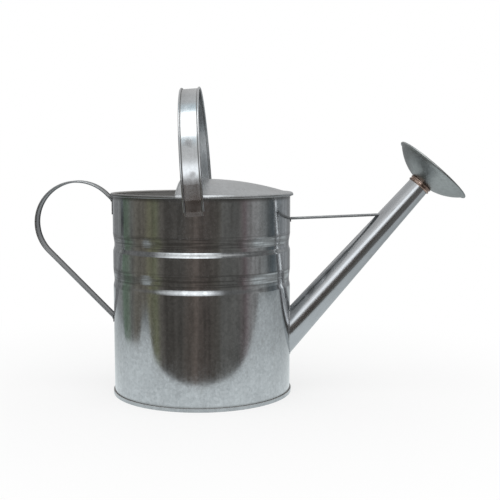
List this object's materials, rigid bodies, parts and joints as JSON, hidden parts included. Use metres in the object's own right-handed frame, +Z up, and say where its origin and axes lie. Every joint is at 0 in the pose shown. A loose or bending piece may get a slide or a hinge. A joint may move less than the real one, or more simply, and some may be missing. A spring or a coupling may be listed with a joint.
{
  "type": "watering can",
  "caption": "Round sheet-metal watering can with a half-hooded top, a fixed hoop, a loop handle at the back and a braced tapered spout that ends in a screw-on rose",
  "frame": {"origin": "middle of the foot ring's underside, on the axis of the wall", "axes": "+Z up, +X toward the spout, +Y to the can's left seen from behind; Y = 0 is the mirror plane"},
  "size_m": [0.5328, 0.2336, 0.3787],
  "materials": {
    "galvanised": "weathered hot-dip zinc, dull spangle",
    "ferrule": "tarnished",
    "rusty_collar": "rusted",
    "washer": "matte"
  },
  "bodies": {
    "can": {"body_shell": "galvanised", "base_pan": "galvanised", "hood": "galvanised", "top_handle": "galvanised", "rear_handle": "galvanised", "spout_tube": "galvanised", "spout_brace": "galvanised", "spout_ferrule": "ferrule"},
    "seal": {"rose_washer": "washer"},
    "rose": {"rose_collar": "rusty_collar", "rose_shell": "galvanised", "rose_face": "galvanised"}
  },
  "joints": [
    {"name": "rose_lift", "type": "slide", "parent": "can", "child": "seal", "axis": [0.6626, 0, 0.749], "range_m": [0, 0.007]},
    {"name": "rose_turn", "type": "hinge", "parent": "seal", "child": "rose", "pos_m": [0.2687, 0, 0.25638], "axis": [0.6626, 0, 0.749], "range_deg": [0, 720]}
  ],
  "couplings": [
    {"joint": "rose_lift", "follows": "rose_turn", "m_per_rad": 0.00055704}
  ]
}
